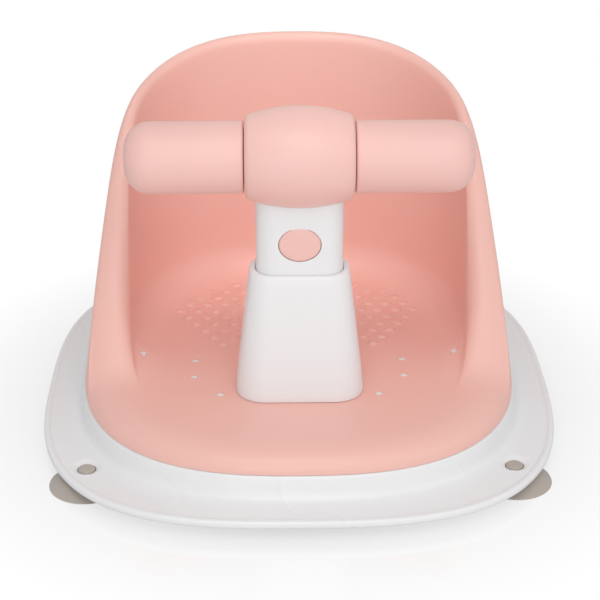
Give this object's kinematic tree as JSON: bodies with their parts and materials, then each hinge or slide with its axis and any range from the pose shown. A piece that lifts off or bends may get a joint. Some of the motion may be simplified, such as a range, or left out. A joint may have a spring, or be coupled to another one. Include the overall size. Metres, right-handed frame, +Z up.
{
  "type": "baby bath seat",
  "caption": "Bath seat for a baby: high bucket shell on a suction-cup base, with a lift-off T-bar of turning grips locked by a push button between the leg openings.",
  "frame": {"origin": "middle of the footprint, on the surface that the suction cups stand on", "axes": "+Z up, -Y towards the front where the legs go, +X to the right as seen from the front"},
  "size_m": [0.35, 0.37, 0.2355],
  "materials": {
    "base_white": "satin moulded",
    "seat_pink": "satin moulded",
    "screw_steel": "zinc plated",
    "cup_clear": "soft translucent",
    "post_white": "satin moulded",
    "bar_pink": "satin moulded",
    "clip_white": "springy acetal",
    "grip_pink": "soft satin"
  },
  "bodies": {
    "base": {"base_tray": "base_white", "seat_shell": "seat_pink", "seat_screws": "screw_steel", "suction_cups": "cup_clear", "post_pedestal": "post_white", "pedestal_screws": "screw_steel"},
    "bar": {"neck_front_shell": "post_white", "neck_rear_shell": "post_white", "neck_screws": "screw_steel", "latch_clip": "clip_white", "crossbar_core": "post_white", "bar_barrel": "bar_pink", "barrel_screws": "screw_steel"},
    "button": {"release_button": "bar_pink"},
    "left_grip": {"grip_left": "grip_pink"},
    "right_grip": {"grip_right": "grip_pink"}
  },
  "joints": [
    {"name": "bar_lift", "type": "slide", "parent": "base", "child": "bar", "axis": [0, 0, 1], "range_m": [0, 0.055], "deforming": ["latch_clip"]},
    {"name": "button_press", "type": "slide", "parent": "bar", "child": "button", "axis": [0, 1, 0], "range_m": [0, 0.004], "stiffness_N_per_m": 600, "springref_m": -0.0015, "deforming": ["latch_clip"]},
    {"name": "grip_left_spin", "type": "hinge", "parent": "bar", "child": "left_grip", "pos_m": [-0.07425, -0.06, 0.2035], "axis": [1, 0, 0], "continuous": true},
    {"name": "grip_right_spin", "type": "hinge", "parent": "bar", "child": "right_grip", "pos_m": [0.07425, -0.06, 0.2035], "axis": [1, 0, 0], "continuous": true}
  ]
}
